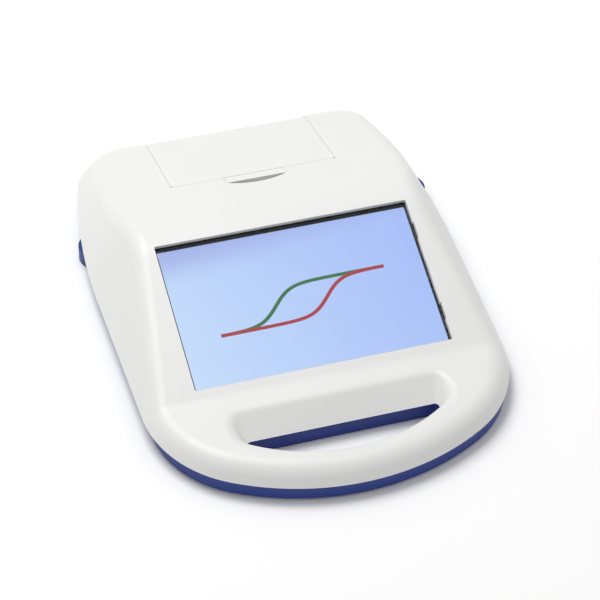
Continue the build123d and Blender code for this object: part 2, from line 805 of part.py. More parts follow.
# Display stack, from the underside of the sloped face inward
with BuildPart() as display_gasket:
    with BuildSketch(screen_plane.offset(-skin - gasket_thickness)):
        Rectangle(*glass_size)
        Rectangle(
            screen_opening[0] + 2 * notch_depth + 2 * gasket_lip,
            screen_opening[1] + 2 * gasket_lip,
            mode=Mode.SUBTRACT,
        )
    extrude(amount=gasket_thickness)
finish(display_gasket.part, "display_gasket")

glass_bottom = skin + gasket_thickness + glass_thickness
with BuildPart() as display_glass:
    with BuildSketch(screen_plane.offset(-glass_bottom)) as pane:
        Rectangle(*glass_size)
        fillet(pane.vertices(), glass_corner)
    extrude(amount=glass_thickness)
finish(display_glass.part, "display_glass")

module_bottom = glass_bottom + module_thickness
with BuildPart() as display_module:
    with BuildSketch(screen_plane.offset(-module_bottom)) as panel:
        Rectangle(*module_size)
        fillet(panel.vertices(), module_corner)
    extrude(amount=module_thickness)
finish(display_module.part, "display_module")

bracket_bottom = module_bottom + bracket_thickness
with BuildPart() as display_bracket:
    with BuildSketch(screen_plane.offset(-bracket_bottom)):
        Rectangle(module_size[0], 2 * display_boss[1] + bracket_rail)
        Rectangle(
            module_size[0] - 2 * bracket_rail,
            2 * display_boss[1] - bracket_rail,
            mode=Mode.SUBTRACT,
        )
        with Locations((0, display_boss[1]), (0, -display_boss[1])):
            Rectangle(2 * display_boss[0], 2 * display_boss_radius)
        with Locations(*display_bosses):
            Circle(display_boss_radius)
        Rectangle(
            module_size[0] - 2 * bracket_rail,
            2 * display_boss[1] - bracket_rail,
            mode=Mode.SUBTRACT,
        )
        with Locations(*display_bosses):
            Circle(screw_radius + hole_clearance, mode=Mode.SUBTRACT)
    extrude(amount=bracket_thickness)
finish(display_bracket.part, "display_bracket")
display_screw_length = bracket_thickness + display_screw_reach
finish(screw(screen_plane.offset(-bracket_bottom), display_bosses, display_screw_length), "display_screws")

# Tray round the tube wells, with ears under the upper moulding's bosses
tray_bottom = tray_depth + tray_floor
with BuildPart() as well_tray:
    with BuildSketch(deck_plane.offset(-tray_bottom)):
        with Locations((0, along_deck(tray_front_y + 2 * lid_gap))):
            Rectangle(
                2 * tray_outer_x,
                along_deck(tray_rear_y) - along_deck(tray_front_y + 2 * lid_gap),
                align=(Align.CENTER, Align.MIN),
            )
    extrude(amount=tray_bottom - skin)
    with BuildSketch(deck_plane.offset(-ear_boss_depth - ear_thickness)):
        for ear_y in ear_screw_y:
            with Locations(*both_sides([(ear_screw_x, along_deck(ear_y))])):
                Circle(ear_boss_radius)
            with Locations((0, along_deck(ear_y))):
                Rectangle(2 * ear_screw_x, 2 * ear_boss_radius)
    extrude(amount=ear_thickness)
    with BuildSketch(Plane.XY.offset(tray_floor_top - tray_floor)):
        with Locations((0, tray_front_y + 2 * lid_gap)):
            Rectangle(
                2 * (trough_half_x + trough_wall),
                trough_rear_y + trough_wall - tray_front_y - 2 * lid_gap,
                align=(Align.CENTER, Align.MIN),
            )
    extrude(amount=deck_z(trough_rear_y + trough_wall) - tray_depth - tray_floor_top + tray_floor)
    with BuildSketch(deck_plane.offset(-lid_flange - lid_gap)):
        with Locations((0, along_deck(tray_front_y) - 1)):
            Rectangle(
                2 * (lid_half_width + lid_gap),
                along_deck(tray_rear_y) - along_deck(tray_front_y) + 2,
                align=(Align.CENTER, Align.MIN),
            )
    extrude(amount=lid_flange, mode=Mode.SUBTRACT)
    with BuildSketch(deck_plane.offset(-tray_depth)):
        with Locations((0, along_deck(trough_front_y))):
            Rectangle(
                2 * tray_half_x,
                along_deck(tray_rear_y) - along_deck(trough_front_y) - trough_wall,
                align=(Align.CENTER, Align.MIN),
            )
    extrude(amount=tray_depth, mode=Mode.SUBTRACT)
    with BuildSketch(Plane.XY.offset(tray_floor_top)):
        with Locations((0, trough_front_y)):
            Rectangle(2 * trough_half_x, trough_rear_y - trough_front_y, align=(Align.CENTER, Align.MIN))
    extrude(amount=fold_z, mode=Mode.SUBTRACT)
    with BuildSketch(Plane.XY.offset(tray_floor_top)):
        with Locations((0, row_y)):
            Rectangle(2 * (block_half_x + seat_clearance), 2 * (block_half_y + seat_clearance))
    extrude(amount=-2 * tray_floor, mode=Mode.SUBTRACT)
    with BuildSketch(Plane.XY.offset(tray_floor_top)):
        with Locations(*both_sides([(jacket_screw_x, row_y)])):
            Circle(screw_radius + hole_clearance)
    extrude(amount=-2 * tray_floor, mode=Mode.SUBTRACT)
    with BuildSketch(deck_plane.offset(-ear_boss_depth - ear_thickness)):
        with Locations(*both_sides([(ear_screw_x, along_deck(y)) for y in ear_screw_y])):
            Circle(screw_radius + hole_clearance)
    extrude(amount=ear_thickness, mode=Mode.SUBTRACT)
    with BuildSketch(deck_plane.offset(-lid_flange - lid_gap)):
        with Locations(*both_sides([(magnet_x, along_deck(magnet_y))])):
            Rectangle(magnet_size[0], magnet_size[1])
    extrude(amount=-magnet_size[2], mode=Mode.SUBTRACT)
finish(well_tray.part, "well_tray")

ear_points = both_sides([(ear_screw_x, along_deck(y)) for y in ear_screw_y])
tray_screw_length = ear_thickness + ear_screw_reach
finish(screw(deck_plane.offset(-ear_boss_depth - ear_thickness), ear_points, tray_screw_length), "tray_screws")

with BuildPart() as lid_magnets:
    with BuildSketch(deck_plane.offset(-lid_flange - lid_gap)):
        with Locations(*both_sides([(magnet_x, along_deck(magnet_y))])):
            Rectangle(magnet_size[0], magnet_size[1])
    extrude(amount=-magnet_size[2])
finish(lid_magnets.part, "lid_magnets")

# Heater block with a row of conical wells and a light path through each
wells = [((i - (well_count - 1) / 2) * well_pitch, row_y) for i in range(well_count)]
side_plane = Plane(origin=(0, row_y, light_height), x_dir=(1, 0, 0), z_dir=(0, -1, 0))
with BuildPart() as heater_block:
    with Locations((0, row_y, block_bottom)):
        Box(
            2 * block_half_x,
            2 * block_half_y,
            block_top - block_bottom,
            align=(Align.CENTER, Align.CENTER, Align.MIN),
        )
    fillet(heater_block.edges().filter_by(Axis.Z), block_edge_radius)
    with Locations(*[(x, y, block_top) for x, y in wells]):
        Cylinder(
            well_radius,
            well_straight,
            align=(Align.CENTER, Align.CENTER, Align.MAX),
            mode=Mode.SUBTRACT,
        )
    with Locations(*[(x, y, block_top - well_straight) for x, y in wells]):
        Cone(
            well_tip_radius,
            well_radius,
            well_depth - well_straight,
            align=(Align.CENTER, Align.CENTER, Align.MAX),
            mode=Mode.SUBTRACT,
        )
    with BuildSketch(side_plane):
        with Locations(*[(x, 0) for x, y in wells]):
            Rectangle(light_window, light_window)
    extrude(amount=block_half_y, both=True, mode=Mode.SUBTRACT)
finish(heater_block.part, "heater_block")

with BuildPart() as heater_film:
    with Locations((0, row_y, block_bottom)):
        Box(
            2 * (block_half_x - film_inset),
            2 * (block_half_y - film_inset),
            film_thickness,
            align=(Align.CENTER, Align.CENTER, Align.MAX),
        )
finish(heater_film.part, "heater_film")

jacket_top = tray_floor_top - tray_floor
with BuildPart() as block_jacket:
    with Locations((0, row_y, jacket_bottom)):
        Box(
            2 * jacket_half_x,
            2 * jacket_half_y,
            jacket_top - jacket_bottom,
            align=(Align.CENTER, Align.CENTER, Align.MIN),
        )
    with Locations((0, row_y, jacket_top)):
        Box(
            2 * (jacket_screw_x + jacket_ear_half_y),
            2 * jacket_ear_half_y,
            jacket_ear_depth,
            align=(Align.CENTER, Align.CENTER, Align.MAX),
        )
    with Locations(
        *[(x, row_y, optic_board_bottom) for x in (-jacket_half_x + rail_width / 2, jacket_half_x - rail_width / 2)]
    ):
        Box(
            rail_width,
            2 * (jacket_half_y + rail_length),
            optic_board_top - optic_board_bottom,
            align=(Align.CENTER, Align.CENTER, Align.MIN),
        )
    with Locations((0, row_y, block_bottom - film_thickness)):
        Box(
            2 * (block_half_x + block_clearance),
            2 * (block_half_y + block_clearance),
            jacket_top,
            align=(Align.CENTER, Align.CENTER, Align.MIN),
            mode=Mode.SUBTRACT,
        )
    with BuildSketch(side_plane):
        with Locations(*[(x, 0) for x, y in wells]):
            Rectangle(light_window, light_window)
    extrude(amount=jacket_half_y, both=True, mode=Mode.SUBTRACT)
    with BuildSketch(Plane.XY.offset(jacket_top)):
        with Locations(*both_sides([(jacket_screw_x, row_y)])):
            Circle(screw_radius + thread_clearance)
    extrude(amount=-jacket_ear_depth, mode=Mode.SUBTRACT)
    optic_screws_at = [(x, z) for x in (-optic_screw_x, optic_screw_x)
                       for z in (optic_board_bottom + optic_screw_inset, optic_board_top - optic_screw_inset)]
    for way in (-1, 1):
        rail_end = Plane(
            origin=(0, row_y + way * (jacket_half_y + rail_length), 0),
            x_dir=(1, 0, 0),
            z_dir=(0, -1, 0),
        )
        with BuildSketch(rail_end):
            with Locations(*optic_screws_at):
                Circle(small_screw_radius + thread_clearance)
        extrude(amount=way * optic_screw_length, mode=Mode.SUBTRACT)
finish(block_jacket.part, "block_jacket")

jacket_screw_plane = Plane(origin=(0, 0, tray_floor_top), x_dir=(1, 0, 0), z_dir=(0, 0, -1))
jacket_screw_points = [(x, -y) for x, y in both_sides([(jacket_screw_x, row_y)])]
jacket_screw_length = tray_floor + jacket_ear_depth - screw_end_gap
finish(screw(jacket_screw_plane, jacket_screw_points, jacket_screw_length), "jacket_screws")


def optic_plane(way, distance):
    return Plane(origin=(0, row_y + way * distance, 0), x_dir=(1, 0, 0), z_dir=(0, way, 0))


def optic_board(way):
    """Board with one chip for each well, its face towards the wells, on the jacket's rails."""
    face = jacket_half_y + rail_length
    with BuildPart() as board:
        with BuildSketch(optic_plane(way, face)):
            turned = [(x, -way * z) for x, z in optic_screws_at]
            middle = (optic_board_bottom + optic_board_top) / 2
            with Locations((0, -way * middle)):
                Rectangle(2 * jacket_half_x, optic_board_top - optic_board_bottom)
            with Locations(*turned):
                Circle(small_screw_radius + hole_clearance, mode=Mode.SUBTRACT)
        extrude(amount=optic_board_thickness)
        with BuildSketch(optic_plane(way, face)):
            with Locations(*[(x, -way * light_height) for x, y in wells]):
                Rectangle(chip_side, chip_side)
        extrude(amount=-chip_height)
    return board.part


def optic_filter(way):
    with BuildPart() as strip:
        with BuildSketch(optic_plane(way, jacket_half_y)):
            with Locations((0, -way * (filter_bottom + filter_top) / 2)):
                Rectangle(2 * filter_half_x, filter_top - filter_bottom)
        extrude(amount=filter_thickness)
    return strip.part


def optic_screws(way):
    face = jacket_half_y + rail_length + optic_board_thickness
    with BuildPart() as screws:
        turned = [(x, -way * z) for x, z in optic_screws_at]
        with BuildSketch(optic_plane(way, face)):
            with Locations(*turned):
                Circle(small_head_radius)
        extrude(amount=small_head_height)
        with BuildSketch(optic_plane(way, face)):
            with Locations(*turned):
                Circle(small_screw_radius)
        extrude(amount=-optic_board_thickness - optic_screw_length + optic_screw_gap)
    return screws.part


finish(optic_board(-1), "light_board")
finish(optic_board(1), "sensor_board")
finish(optic_filter(-1), "light_filter")
finish(optic_filter(1), "sensor_filter")
finish(optic_screws(-1), "light_board_screws")
finish(optic_screws(1), "sensor_board_screws")

# Lid: plate with a flange round it, a finger tongue in front and the hinge barrel behind
with BuildPart() as lid:
    with BuildSketch(deck_plane.offset(-lid_flange)) as lid_outline:
        Rectangle(
            2 * lid_half_width,
            along_deck(rear_y),
            align=(Align.CENTER, Align.MIN),
        )
        fillet(lid_outline.vertices().group_by(Axis.Y)[0], lid_corner_radius)
    extrude(amount=2 * lid_flange)
    with BuildSketch(deck_plane.offset(-lid_thickness)):
        with Locations((0, along_deck(tongue_front_y) - lid_thickness)):
            Rectangle(
                2 * tongue_half_width,
                along_deck(lid_front_y) - along_deck(tongue_front_y) + lid_thickness + lid_flange_width,
                align=(Align.CENTER, Align.MIN),
            )
    extrude(amount=2 * lid_thickness)
    add(outer_form.part, mode=Mode.INTERSECT)
    with BuildSketch(Plane.XY):
        with Locations((0, tongue_front_y)):
            Rectangle(4 * tongue_half_width, 4 * lid_thickness, align=(Align.CENTER, Align.MAX))
        with Locations((0, lid_rear_y)):
            Rectangle(2 * far, far, align=(Align.CENTER, Align.MIN))
    extrude(amount=loft_top, mode=Mode.SUBTRACT)
    with BuildSketch(deck_plane.offset(-lid_flange)):
        with Locations((0, lid_flange_width)):
            Rectangle(
                2 * (lid_half_width - lid_flange_width),
                along_deck(lid_rear_y) + lid_flange,
                align=(Align.CENTER, Align.MIN),
            )
    extrude(amount=lid_flange - lid_thickness, mode=Mode.SUBTRACT)
    with BuildSketch(deck_plane.offset(-crease_depth)):
        Rectangle(2 * tongue_half_width, crease_width)
    extrude(amount=2 * crease_depth, mode=Mode.SUBTRACT)
    with BuildSketch(Plane.XY.offset(bar_boss_bottom)):
        with Locations(*both_sides([(bar_screw_x, row_y)])):
            Circle(bar_boss_radius)
    extrude(amount=bar_boss_top - bar_boss_bottom)
    with BuildSketch(Plane.YZ.offset(-lid_half_width)):
        with Locations((hinge_y, hinge_z)):
            Circle(barrel_radius)
    extrude(amount=2 * lid_half_width)
    with BuildSketch(Plane.YZ.offset(-lid_half_width)):
        with Locations(Location((hinge_y, hinge_z), -deck_tilt)):
            Rectangle(2 * barrel_radius, hinge_depth - lid_thickness / 2, align=(Align.CENTER, Align.MIN))
    extrude(amount=2 * lid_half_width)
    with BuildSketch(Plane.YZ.offset(-lid_half_width)):
        with Locations((hinge_y, hinge_z)):
            Circle(pin_radius + pin_clearance)
    extrude(amount=2 * lid_half_width, mode=Mode.SUBTRACT)
    with BuildSketch(Plane.XY.offset(bar_boss_bottom)):
        with Locations(*both_sides([(bar_screw_x, row_y)])):
            Circle(screw_radius + thread_clearance)
    extrude(amount=bar_screw_top - bar_boss_bottom, mode=Mode.SUBTRACT)
    with BuildSketch(deck_plane.offset(-lid_flange)):
        with Locations(*both_sides([(magnet_x, along_deck(magnet_y))])):
            Rectangle(keeper_size[0], keeper_size[1])
    extrude(amount=keeper_size[2], mode=Mode.SUBTRACT)
finish(lid.part, "lid")

with BuildPart() as keeper_plates:
    with BuildSketch(deck_plane.offset(-lid_flange)):
        with Locations(*both_sides([(magnet_x, along_deck(magnet_y))])):
            Rectangle(keeper_size[0], keeper_size[1])
    extrude(amount=keeper_size[2])
finish(keeper_plates.part, "keeper_plates")

with BuildPart() as hinge_pin:
    with BuildSketch(Plane.YZ.offset(-lid_half_width - lid_gap - pin_grip)):
        with Locations((hinge_y, hinge_z)):
            Circle(pin_radius)
    extrude(amount=2 * (lid_half_width + lid_gap + pin_grip))
finish(hinge_pin.part, "hinge_pin")

liner_front_y = trough_rear_y + trough_wall
with BuildPart() as lid_liner:
    with BuildSketch(deck_plane.offset(-lid_thickness - liner_thickness)) as liner_outline:
        with Locations((0, along_deck(liner_front_y))):
            Rectangle(
                2 * (lid_half_width - lid_flange_width - liner_margin),
                along_deck(tray_rear_y) - along_deck(liner_front_y),
                align=(Align.CENTER, Align.MIN),
            )
        fillet(liner_outline.vertices(), liner_corner)
    extrude(amount=liner_thickness)
finish(lid_liner.part, "lid_liner")

# Press bar: slides up its two shoulder screws against two springs
bar_top = bar_bottom + bar_thickness
spring_foot = bar_top - spring_seat
with BuildPart() as press_bar:
    with Locations((0, row_y, bar_bottom)):
        Box(2 * bar_half_x, 2 * bar_half_y, bar_thickness, align=(Align.CENTER, Align.CENTER, Align.MIN))
    fillet(press_bar.edges().filter_by(Axis.Z), bar_corner_radius)
    with BuildSketch(Plane.XY.offset(bar_bottom)):
        with Locations(*both_sides([(bar_screw_x, row_y)])):
            Circle(screw_radius + pin_clearance)
    extrude(amount=bar_thickness, mode=Mode.SUBTRACT)
    with BuildSketch(Plane.XY.offset(bar_bottom)):
        with Locations(*both_sides([(bar_screw_x, row_y)])):
            Circle(screw_head_radius + head_clearance)
    extrude(amount=bar_head_seat, mode=Mode.SUBTRACT)
    with BuildSketch(Plane.XY.offset(spring_foot)):
        with Locations(*both_sides([(spring_x, row_y)])):
            Circle(spring_radius + head_clearance)
    extrude(amount=spring_seat, mode=Mode.SUBTRACT)
finish(press_bar.part, "press_bar")

bar_screw_plane = Plane.XY.offset(bar_bottom + bar_head_seat)
bar_screw_length = bar_screw_top - bar_bottom - bar_head_seat
bar_screw_points = both_sides([(bar_screw_x, row_y)])
bar_head_height = bar_head_seat - bar_head_sink
finish(screw(bar_screw_plane, bar_screw_points, bar_screw_length, height=bar_head_height), "bar_screws")

with BuildPart() as press_springs:
    with BuildSketch(Plane.XY.offset(spring_foot)):
        with Locations(*both_sides([(spring_x, row_y)])):
            Circle(spring_radius)
            Circle(spring_radius - spring_wire, mode=Mode.SUBTRACT)
    extrude(amount=fold_z - spring_foot)
    with BuildSketch(Plane.YZ.offset(-far)):
        with BuildLine():
            under = lid_thickness / cos(radians(deck_tilt))
            Polyline(
                (fold_y, fold_z - under),
                (rear_y, deck_z(rear_y) - under),
                (rear_y, 2 * fold_z),
                (fold_y, 2 * fold_z),
                close=True,
            )
        make_face()
    extrude(amount=2 * far, mode=Mode.SUBTRACT)
finish(press_springs.part, "press_springs")

# Rear connector bay: panel, board, power inlet, data socket and rocker switch
rear_board_top = base_floor_top + rear_board_thickness
connector_height = 2 * (connector_z - rear_board_top)
rear_plane = Plane(origin=(0, panel_y[1], connector_z), x_dir=(-1, 0, 0), z_dir=(0, 1, 0))
with BuildPart() as rear_panel:
    with BuildSketch(Plane.XY.offset(base_floor_top)):
        with Locations((0, panel_y[0])):
            Rectangle(2 * bay_half_x, panel_y[1] - panel_y[0], align=(Align.CENTER, Align.MIN))
    extrude(amount=parting_height - base_floor_top)
    with BuildSketch(Plane.XY.offset(parting_height)):
        with Locations((0, panel_y[0])):
            Rectangle(2 * panel_half_x, panel_y[1] - panel_y[0], align=(Align.CENTER, Align.MIN))
    extrude(amount=panel_top - parting_height)
    with BuildSketch(rear_plane):
        with Locations((-inlet_x, 0)):
            Rectangle(inlet_width + 2 * cutout_clearance, connector_height + 2 * cutout_clearance)
        with Locations((-usb_x, 0)):
            Rectangle(usb_width + 2 * cutout_clearance, connector_height + 2 * cutout_clearance)
        with Locations((-rocker_x, 0)):
            Rectangle(
                2 * (rocker_frame_half[0] + cutout_clearance),
                2 * (rocker_frame_half[1] + cutout_clearance),
            )
    extrude(amount=-(panel_y[1] - panel_y[0]), mode=Mode.SUBTRACT)
finish(rear_panel.part, "rear_panel")

with BuildPart() as rear_board:
    with BuildSketch(Plane.XY.offset(base_floor_top)):
        with Locations(((rear_board_x[0] + rear_board_x[1]) / 2, rear_board_front_y)):
            Rectangle(
                rear_board_x[1] - rear_board_x[0],
                panel_y[0] - rear_board_front_y,
                align=(Align.CENTER, Align.MIN),
            )
    extrude(amount=rear_board_thickness)
finish(rear_board.part, "rear_board")

with BuildPart() as power_inlet:
    with BuildSketch(rear_plane):
        with Locations((-inlet_x, 0)):
            Rectangle(inlet_width, connector_height)
    extrude(amount=-(panel_y[1] - inlet_front_y))
    with BuildSketch(rear_plane):
        with Locations((-inlet_x, 0)):
            Circle(inlet_bore_radius)
            Circle(inlet_pin_radius, mode=Mode.SUBTRACT)
    extrude(amount=-inlet_bore_depth, mode=Mode.SUBTRACT)
    with BuildSketch(rear_plane):
        with Locations((-inlet_x, 0)):
            Circle(inlet_bore_radius)
    extrude(amount=-inlet_pin_setback, mode=Mode.SUBTRACT)
finish(power_inlet.part, "power_inlet")

with BuildPart() as usb_socket:
    with BuildSketch(rear_plane):
        with Locations((-usb_x, 0)):
            Rectangle(usb_width, connector_height)
    extrude(amount=-(panel_y[1] - usb_front_y))
    with BuildSketch(rear_plane):
        with Locations((-usb_x, 0)):
            Rectangle(usb_width - 2 * usb_wall, connector_height - 2 * usb_wall)
    extrude(amount=-usb_depth, mode=Mode.SUBTRACT)
    with BuildSketch(rear_plane.offset(-usb_depth)):
        with Locations((-usb_x, connector_height / 2 - usb_wall - tongue_thickness)):
            Rectangle(tongue_width, tongue_thickness)
    extrude(amount=usb_depth - tongue_setback)
finish(usb_socket.part, "usb_socket")

pivot_plane = Plane(origin=(rocker_x, rocker_pivot_y, connector_z), x_dir=(1, 0, 0), z_dir=(0, 0, 1))
with BuildPart() as rocker_frame:
    with BuildSketch(rear_plane):
        with Locations((-rocker_x, 0)):
            Rectangle(2 * rocker_frame_half[0], 2 * rocker_frame_half[1])
    extrude(amount=-(panel_y[1] - rocker_frame_front_y))
    with BuildSketch(rear_plane):
        with Locations((-rocker_x, 0)):
            Rectangle(
                2 * (rocker_frame_half[0] + rocker_flange),
                2 * (rocker_frame_half[1] + rocker_flange / 2),
            )
    extrude(amount=rocker_flange_thickness)
    with BuildSketch(rear_plane.offset(rocker_flange_thickness)):
        with Locations((-rocker_x, 0)):
            Rectangle(2 * rocker_bay_half[0], 2 * rocker_bay_half[1])
    extrude(amount=-rocker_bay_depth, mode=Mode.SUBTRACT)
    with BuildSketch(pivot_plane):
        Circle(rocker_pin_radius + pin_clearance)
    extrude(amount=rocker_half[1] + rocker_pin_reach + rocker_pin_gap, both=True, mode=Mode.SUBTRACT)
finish(rocker_frame.part, "rocker_frame")

with BuildPart() as power_rocker:
    with BuildSketch(pivot_plane) as rocker_side:
        with BuildLine():
            Polyline(
                (-rocker_half[0], rocker_face),
                (0, rocker_face - rocker_dip),
                (rocker_half[0], rocker_face),
                (rocker_half[0] - rocker_heel, -rocker_heel),
                (-rocker_half[0] + rocker_heel, -rocker_heel),
                close=True,
            )
        make_face()
    extrude(amount=rocker_half[1], both=True)
    with BuildSketch(pivot_plane):
        Circle(rocker_pin_radius)
    extrude(amount=rocker_half[1] + rocker_pin_reach, both=True)
tilted_rocker = power_rocker.part.rotate(
    Axis((rocker_x, rocker_pivot_y, connector_z), (0, 0, 1)),
    -rocker_tilt,
)
finish(tilted_rocker, "power_rocker")
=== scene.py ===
import math

import bpy
import numpy as np
from mathutils import Matrix, Vector


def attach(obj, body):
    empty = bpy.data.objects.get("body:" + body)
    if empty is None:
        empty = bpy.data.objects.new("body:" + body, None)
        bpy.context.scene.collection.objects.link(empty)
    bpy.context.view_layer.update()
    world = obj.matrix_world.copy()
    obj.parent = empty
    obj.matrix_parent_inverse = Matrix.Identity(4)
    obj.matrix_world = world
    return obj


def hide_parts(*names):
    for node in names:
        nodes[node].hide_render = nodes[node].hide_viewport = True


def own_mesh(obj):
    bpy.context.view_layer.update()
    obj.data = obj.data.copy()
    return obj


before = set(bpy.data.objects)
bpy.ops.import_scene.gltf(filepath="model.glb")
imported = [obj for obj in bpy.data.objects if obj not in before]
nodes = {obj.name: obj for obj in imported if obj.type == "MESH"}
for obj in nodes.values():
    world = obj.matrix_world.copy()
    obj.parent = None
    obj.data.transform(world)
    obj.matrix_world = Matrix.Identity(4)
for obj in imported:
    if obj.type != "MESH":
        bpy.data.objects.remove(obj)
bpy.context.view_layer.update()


# Helpers for procedural materials
def newMaterial(name):
    material = bpy.data.materials.new(name)
    material.use_nodes = True
    tree = material.node_tree
    return material, tree, tree.nodes["Principled BSDF"]


def objectNoise(tree, scale, detail=3.0, roughness=0.5):
    coordinates = tree.nodes.new("ShaderNodeTexCoord")
    noise = tree.nodes.new("ShaderNodeTexNoise")
    noise.inputs["Scale"].default_value = scale
    noise.inputs["Detail"].default_value = detail
    noise.inputs["Roughness"].default_value = roughness
    tree.links.new(coordinates.outputs["Object"], noise.inputs["Vector"])
    return noise.outputs["Fac"]


def mapRange(tree, source, low, high, fromLow=0.3, fromHigh=0.7, smooth=False):
    ranged = tree.nodes.new("ShaderNodeMapRange")
    if smooth:
        ranged.interpolation_type = "SMOOTHSTEP"
    ranged.inputs["From Min"].default_value = fromLow
    ranged.inputs["From Max"].default_value = fromHigh
    ranged.inputs["To Min"].default_value = low
    ranged.inputs["To Max"].default_value = high
    tree.links.new(source, ranged.inputs["Value"])
    return ranged.outputs["Result"]


# A colour is three numbers or another node's output
def mixColours(tree, factor, first, second):
    mix = tree.nodes.new("ShaderNodeMix")
    mix.data_type = "RGBA"
    tree.links.new(factor, mix.inputs[0])
    for socket, colour in ((mix.inputs[6], first), (mix.inputs[7], second)):
        if isinstance(colour, tuple):
            socket.default_value = (*colour, 1.0)
        else:
            tree.links.new(colour, socket)
    return mix.outputs[2]


# One math node; each input is a number or another node's output
def calc(tree, operation, first, second=0.0, clamp=False):
    node = tree.nodes.new("ShaderNodeMath")
    node.operation = operation
    node.use_clamp = clamp
    for socket, value in ((node.inputs[0], first), (node.inputs[1], second)):
        if isinstance(value, (int, float)):
            socket.default_value = value
        else:
            tree.links.new(value, socket)
    return node.outputs[0]


def addBump(tree, shader, height, strength, distance):
    bump = tree.nodes.new("ShaderNodeBump")
    bump.inputs["Strength"].default_value = strength
    bump.inputs["Distance"].default_value = distance
    tree.links.new(height, bump.inputs["Height"])
    tree.links.new(bump.outputs["Normal"], shader.inputs["Normal"])


# Painted highlight: grows towards an edge, where the bevelled normal departs from the true one
def edgeHighlight(tree, radius, gain):
    bevel = tree.nodes.new("ShaderNodeBevel")
    bevel.samples = 4
    bevel.inputs["Radius"].default_value = radius
    geometry = tree.nodes.new("ShaderNodeNewGeometry")
    dot = tree.nodes.new("ShaderNodeVectorMath")
    dot.operation = "DOT_PRODUCT"
    tree.links.new(bevel.outputs["Normal"], dot.inputs[0])
    tree.links.new(geometry.outputs["Normal"], dot.inputs[1])
    return mapRange(tree, dot.outputs["Value"], gain, 0.0, 0.8, 0.995)


# Injection moulded plastic: spark-eroded grain, slow drift of tone, edges lightened as a painted
# highlight
def moulded(
    name, colour, shade, roughness, spread, grain, bump,
    highlight=0.0, highlightColour=(1.0, 1.0, 1.0), specular=0.5,
):
    material, tree, shader = newMaterial(name)
    tone = mixColours(tree, objectNoise(tree, 18.0, 2.0), colour, shade)
    # Painted highlight: edges lightened towards the highlight colour
    if highlight:
        tone = mixColours(tree, edgeHighlight(tree, 0.0006, highlight), tone, highlightColour)
    tree.links.new(tone, shader.inputs["Base Color"])
    rough = mapRange(tree, objectNoise(tree, 60.0, 4.0), roughness - spread, roughness + spread)
    tree.links.new(rough, shader.inputs["Roughness"])
    addBump(tree, shader, objectNoise(tree, grain, 2.0, 0.6), bump, 0.00004)
    shader.inputs["Specular IOR Level"].default_value = specular
    return material


# Bare or plated metal: machining lines along one axis and smudged roughness
def metal(name, colour, shade, roughness, spread, stretch=(1, 1, 1)):
    material, tree, shader = newMaterial(name)
    coordinates = tree.nodes.new("ShaderNodeTexCoord")
    mapping = tree.nodes.new("ShaderNodeMapping")
    mapping.inputs["Scale"].default_value = stretch
    tree.links.new(coordinates.outputs["Object"], mapping.inputs["Vector"])
    lines = tree.nodes.new("ShaderNodeTexNoise")
    lines.inputs["Scale"].default_value = 900.0
    tree.links.new(mapping.outputs["Vector"], lines.inputs["Vector"])
    tone = mixColours(tree, lines.outputs["Fac"], colour, shade)
    # Painted highlight: edges lightened towards pale grey
    tone = mixColours(tree, edgeHighlight(tree, 0.0003, 0.4), tone, (0.9, 0.9, 0.9))
    tree.links.new(tone, shader.inputs["Base Color"])
    rough = mapRange(tree, objectNoise(tree, 120.0, 4.0), roughness - spread, roughness + spread)
    tree.links.new(rough, shader.inputs["Roughness"])
    addBump(tree, shader, lines.outputs["Fac"], 0.25, 0.00003)
    shader.inputs["Metallic"].default_value = 1.0
    return material


# Polished glass with a faint smear of roughness
def glass(name, colour, roughness, specular=0.5):
    material, tree, shader = newMaterial(name)
    smear = objectNoise(tree, 45.0, 5.0)
    tree.links.new(mapRange(tree, smear, roughness, roughness + 0.05), shader.inputs["Roughness"])
    tone = mixColours(tree, smear, colour, tuple(0.97 * c for c in colour))
    tree.links.new(tone, shader.inputs["Base Color"])
    shader.inputs["Transmission Weight"].default_value = 1.0
    shader.inputs["IOR"].default_value = 1.5
    shader.inputs["Specular IOR Level"].default_value = specular
    return material


# Colours in pairs, then roughness and its spread, grain, bump height, painted edge highlight
whitePlastic = moulded(
    "whiteHousing", (0.79, 0.79, 0.775), (0.77, 0.77, 0.755), 0.42, 0.05, 2600.0, 0.25, 0.25
)
bluePlastic = moulded(
    "blueBase", (0.010, 0.036, 0.235), (0.008, 0.030, 0.205), 0.4, 0.06, 2600.0, 0.25,
    0.3, (0.03, 0.07, 0.4), 0.35,
)
blackPlastic = moulded(
    "blackPlastic", (0.016, 0.016, 0.018), (0.022, 0.022, 0.024), 0.45, 0.08, 2200.0, 0.35,
    0.3, (0.07, 0.07, 0.07),
)
trayPlastic = moulded(
    "darkTray", (0.045, 0.048, 0.052), (0.06, 0.062, 0.066), 0.5, 0.08, 2000.0, 0.4,
    0.3, (0.12, 0.12, 0.13),
)
connectorPlastic = moulded(
    "connectorWhite", (0.72, 0.7, 0.62), (0.66, 0.64, 0.56), 0.5, 0.06, 2000.0, 0.3
)
rubber = moulded("rubberFeet", (0.018, 0.018, 0.02), (0.03, 0.03, 0.03), 0.82, 0.08, 900.0, 0.8)
foam = moulded(
    "blackFoam", (0.006, 0.006, 0.007), (0.012, 0.012, 0.012), 0.92, 0.05, 1400.0, 1.0, specular=0.15
)
wrap = moulded("batteryWrap", (0.02, 0.03, 0.06), (0.03, 0.04, 0.07), 0.3, 0.08, 500.0, 0.5)
solderMask = moulded(
    "circuitBoard", (0.01, 0.09, 0.035), (0.014, 0.13, 0.05), 0.3, 0.08, 1200.0, 0.4
)
amberFilm = moulded("heaterFilm", (0.42, 0.15, 0.02), (0.5, 0.2, 0.03), 0.25, 0.06, 700.0, 0.4)
steel = metal("steel", (0.56, 0.56, 0.57), (0.48, 0.48, 0.49), 0.3, 0.08)
